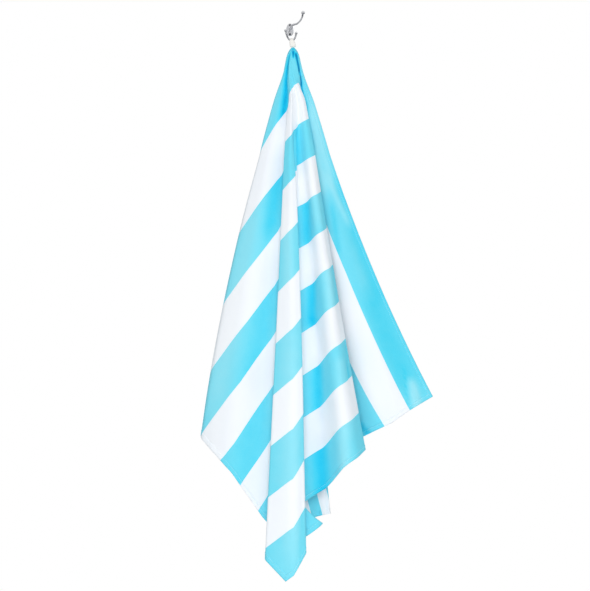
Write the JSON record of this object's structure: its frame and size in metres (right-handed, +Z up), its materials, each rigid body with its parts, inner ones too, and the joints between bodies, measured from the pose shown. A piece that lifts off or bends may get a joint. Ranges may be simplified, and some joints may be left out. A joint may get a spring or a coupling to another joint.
{
  "type": "beach towel on wall hook",
  "caption": "Rectangular beach towel hung by a sewn tape loop on a small wall hook, fallen into deep soft folds, with a rounded bunched top and slanting lower corners.",
  "frame": {"origin": "centre of the wall hook's flat back, where it is screwed to the wall", "axes": "+Z up, +Y into the wall, +X to the right as seen from the room; the towel hangs on the -Y side"},
  "size_m": [0.5133, 0.146, 1.2549],
  "materials": {
    "striped_microfibre": "matte woven, light blue with lengthwise white stripes",
    "white_tape": "matte woven tape",
    "polished_zinc_alloy": "polished",
    "screw_steel": "darkened"
  },
  "bodies": {
    "root": {"towel_cloth": "striped_microfibre", "hanging_loop": "white_tape", "wall_hook": "polished_zinc_alloy", "screw_top": "screw_steel", "screw_bottom": "screw_steel"}
  },
  "joints": []
}
